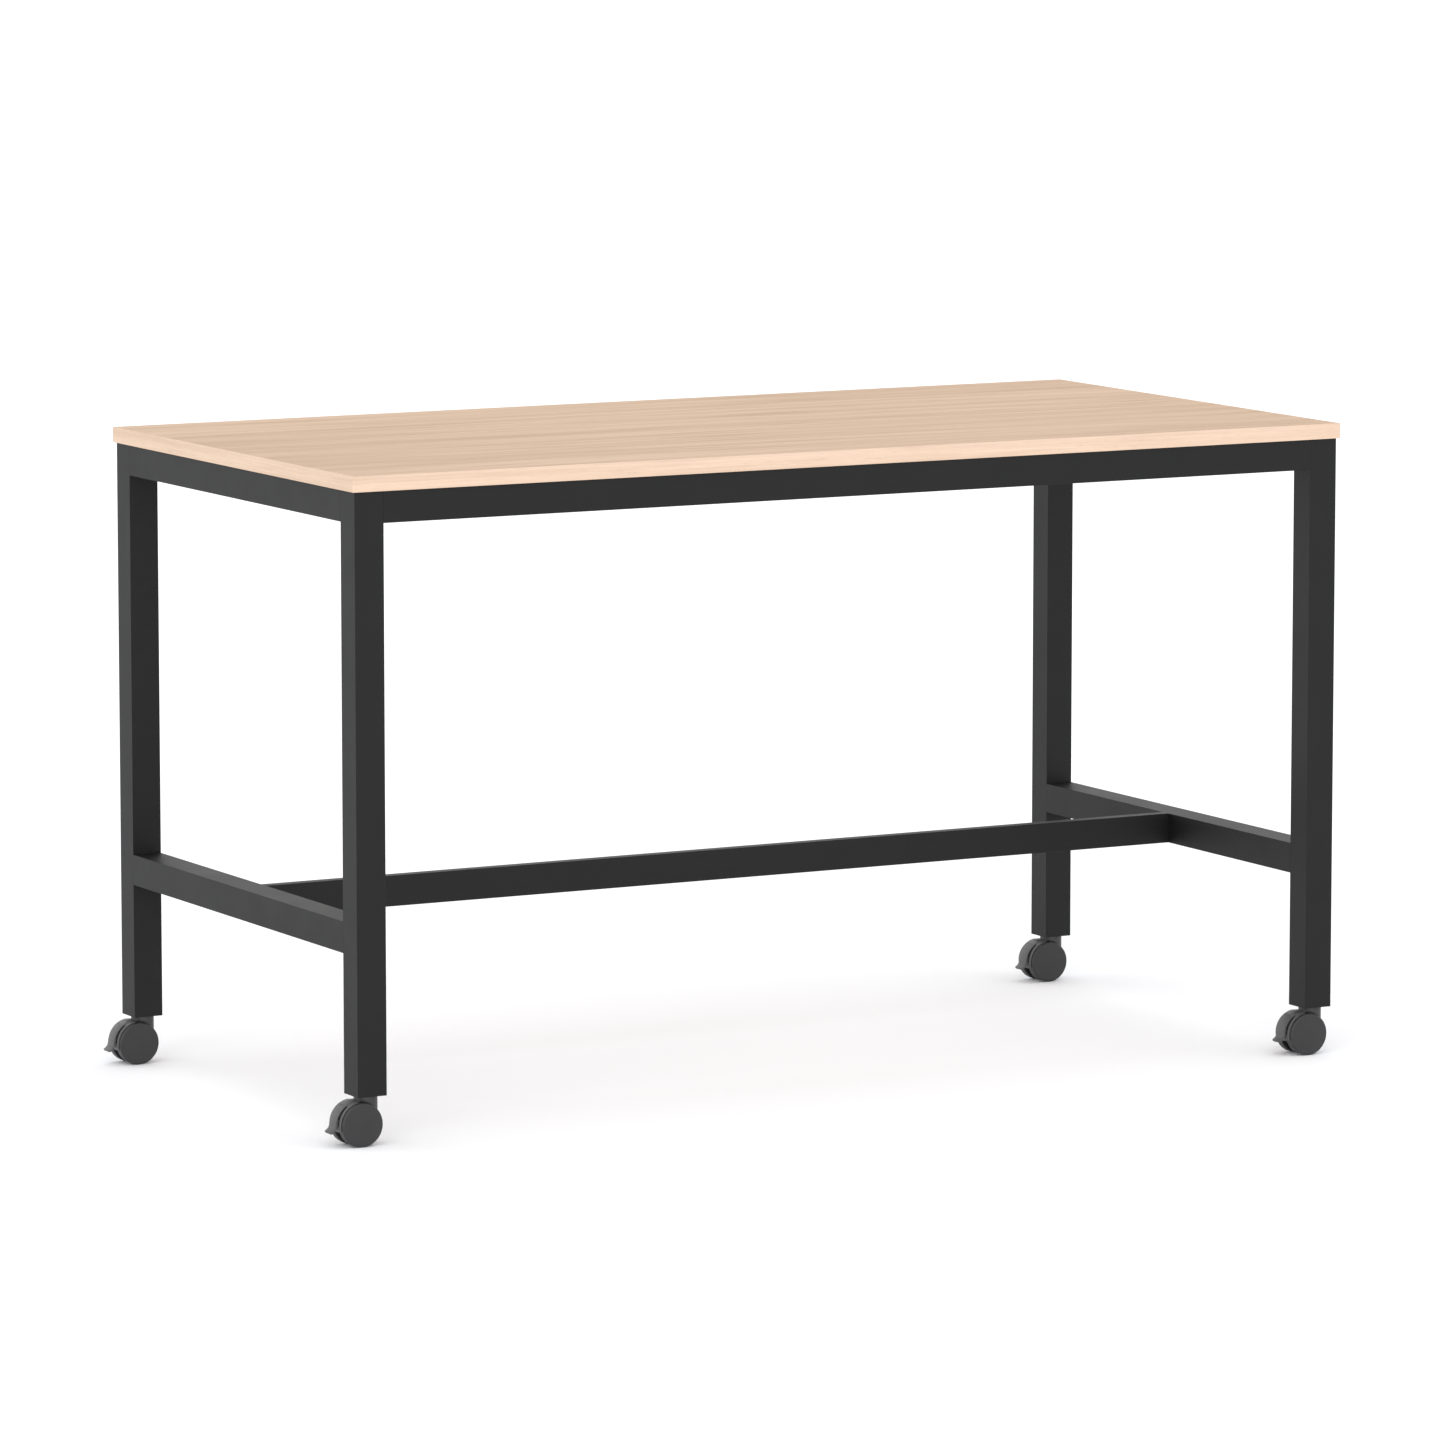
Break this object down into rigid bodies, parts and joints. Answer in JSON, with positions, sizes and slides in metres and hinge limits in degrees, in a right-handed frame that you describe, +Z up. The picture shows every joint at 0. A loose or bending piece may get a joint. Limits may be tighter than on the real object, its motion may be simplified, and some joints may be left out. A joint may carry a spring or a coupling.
{
  "type": "mobile bar table",
  "caption": "Bar-height table with a rectangular wood-grain top on a square-tube steel frame that rolls on braked twin-wheel casters.",
  "frame": {"origin": "on the floor, under the middle of the board", "axes": "+X along the board, +Y from the front long side to the rear, +Z up"},
  "size_m": [1.8361, 0.9, 1.05],
  "materials": {
    "board": "matt melamine face with a fine straight grain along X",
    "edge_band": "matt edge banding with a printed grain",
    "frame": "black satin powder coat",
    "caster": "dark grey moulded plastic",
    "wheel": "dark grey moulded plastic",
    "steel": "zinc plated"
  },
  "bodies": {
    "table": {"top_panel": "board", "edge_band_front": "edge_band", "edge_band_rear": "edge_band", "edge_band_left": "edge_band", "edge_band_right": "edge_band", "leg_front_left": "frame", "leg_rear_left": "frame", "leg_front_right": "frame", "leg_rear_right": "frame", "top_end_rail_left": "frame", "top_end_rail_right": "frame", "foot_end_rail_left": "frame", "foot_end_rail_right": "frame", "top_long_rail_front": "frame", "top_long_rail_rear": "frame", "centre_foot_rail": "frame", "rail_spigots": "frame", "top_fixing_tabs": "frame", "foot_plates": "frame", "rail_screws": "steel", "top_fixing_screws": "steel", "caster_front_left_stem": "steel", "caster_front_left_swivel_washer": "steel", "caster_front_left_stem_clip": "steel", "caster_rear_left_stem": "steel", "caster_rear_left_swivel_washer": "steel", "caster_rear_left_stem_clip": "steel", "caster_front_right_stem": "steel", "caster_front_right_swivel_washer": "steel", "caster_front_right_stem_clip": "steel", "caster_rear_right_stem": "steel", "caster_rear_right_swivel_washer": "steel", "caster_rear_right_stem_clip": "steel"},
    "caster_front_left": {"caster_front_left_housing": "caster", "caster_front_left_axle": "steel", "caster_front_left_pedal_pin": "steel"},
    "caster_front_left_front_wheel": {"caster_front_left_front_wheel": "wheel"},
    "caster_front_left_rear_wheel": {"caster_front_left_rear_wheel": "wheel"},
    "caster_front_left_brake": {"caster_front_left_brake_pedal": "caster"},
    "caster_rear_left": {"caster_rear_left_housing": "caster", "caster_rear_left_axle": "steel", "caster_rear_left_pedal_pin": "steel"},
    "caster_rear_left_front_wheel": {"caster_rear_left_front_wheel": "wheel"},
    "caster_rear_left_rear_wheel": {"caster_rear_left_rear_wheel": "wheel"},
    "caster_rear_left_brake": {"caster_rear_left_brake_pedal": "caster"},
    "caster_front_right": {"caster_front_right_housing": "caster", "caster_front_right_axle": "steel", "caster_front_right_pedal_pin": "steel"},
    "caster_front_right_front_wheel": {"caster_front_right_front_wheel": "wheel"},
    "caster_front_right_rear_wheel": {"caster_front_right_rear_wheel": "wheel"},
    "caster_front_right_brake": {"caster_front_right_brake_pedal": "caster"},
    "caster_rear_right": {"caster_rear_right_housing": "caster", "caster_rear_right_axle": "steel", "caster_rear_right_pedal_pin": "steel"},
    "caster_rear_right_front_wheel": {"caster_rear_right_front_wheel": "wheel"},
    "caster_rear_right_rear_wheel": {"caster_rear_right_rear_wheel": "wheel"},
    "caster_rear_right_brake": {"caster_rear_right_brake_pedal": "caster"}
  },
  "joints": [
    {"name": "front_left_swivel", "type": "hinge", "parent": "table", "child": "caster_front_left", "pos_m": [-0.87, -0.42, 0.0791], "axis": [0, 0, 1], "continuous": true},
    {"name": "front_left_front_wheel_spin", "type": "hinge", "parent": "caster_front_left", "child": "caster_front_left_front_wheel", "pos_m": [-0.8865, -0.42, 0.035], "axis": [0, 1, 0], "continuous": true},
    {"name": "front_left_rear_wheel_spin", "type": "hinge", "parent": "caster_front_left", "child": "caster_front_left_rear_wheel", "pos_m": [-0.8865, -0.42, 0.035], "axis": [0, 1, 0], "continuous": true},
    {"name": "front_left_brake", "type": "hinge", "parent": "caster_front_left", "child": "caster_front_left_brake", "pos_m": [-0.90808, -0.42, 0.05584], "axis": [0, -1, 0], "range_deg": [0, 4]},
    {"name": "rear_left_swivel", "type": "hinge", "parent": "table", "child": "caster_rear_left", "pos_m": [-0.87, 0.42, 0.0791], "axis": [0, 0, 1], "continuous": true},
    {"name": "rear_left_front_wheel_spin", "type": "hinge", "parent": "caster_rear_left", "child": "caster_rear_left_front_wheel", "pos_m": [-0.8865, 0.42, 0.035], "axis": [0, 1, 0], "continuous": true},
    {"name": "rear_left_rear_wheel_spin", "type": "hinge", "parent": "caster_rear_left", "child": "caster_rear_left_rear_wheel", "pos_m": [-0.8865, 0.42, 0.035], "axis": [0, 1, 0], "continuous": true},
    {"name": "rear_left_brake", "type": "hinge", "parent": "caster_rear_left", "child": "caster_rear_left_brake", "pos_m": [-0.90808, 0.42, 0.05584], "axis": [0, -1, 0], "range_deg": [0, 4]},
    {"name": "front_right_swivel", "type": "hinge", "parent": "table", "child": "caster_front_right", "pos_m": [0.87, -0.42, 0.0791], "axis": [0, 0, 1], "continuous": true},
    {"name": "front_right_front_wheel_spin", "type": "hinge", "parent": "caster_front_right", "child": "caster_front_right_front_wheel", "pos_m": [0.8535, -0.42, 0.035], "axis": [0, 1, 0], "continuous": true},
    {"name": "front_right_rear_wheel_spin", "type": "hinge", "parent": "caster_front_right", "child": "caster_front_right_rear_wheel", "pos_m": [0.8535, -0.42, 0.035], "axis": [0, 1, 0], "continuous": true},
    {"name": "front_right_brake", "type": "hinge", "parent": "caster_front_right", "child": "caster_front_right_brake", "pos_m": [0.83192, -0.42, 0.05584], "axis": [0, -1, 0], "range_deg": [0, 4]},
    {"name": "rear_right_swivel", "type": "hinge", "parent": "table", "child": "caster_rear_right", "pos_m": [0.87, 0.42, 0.0791], "axis": [0, 0, 1], "continuous": true},
    {"name": "rear_right_front_wheel_spin", "type": "hinge", "parent": "caster_rear_right", "child": "caster_rear_right_front_wheel", "pos_m": [0.8535, 0.42, 0.035], "axis": [0, 1, 0], "continuous": true},
    {"name": "rear_right_rear_wheel_spin", "type": "hinge", "parent": "caster_rear_right", "child": "caster_rear_right_rear_wheel", "pos_m": [0.8535, 0.42, 0.035], "axis": [0, 1, 0], "continuous": true},
    {"name": "rear_right_brake", "type": "hinge", "parent": "caster_rear_right", "child": "caster_rear_right_brake", "pos_m": [0.83192, 0.42, 0.05584], "axis": [0, -1, 0], "range_deg": [0, 4]}
  ]
}
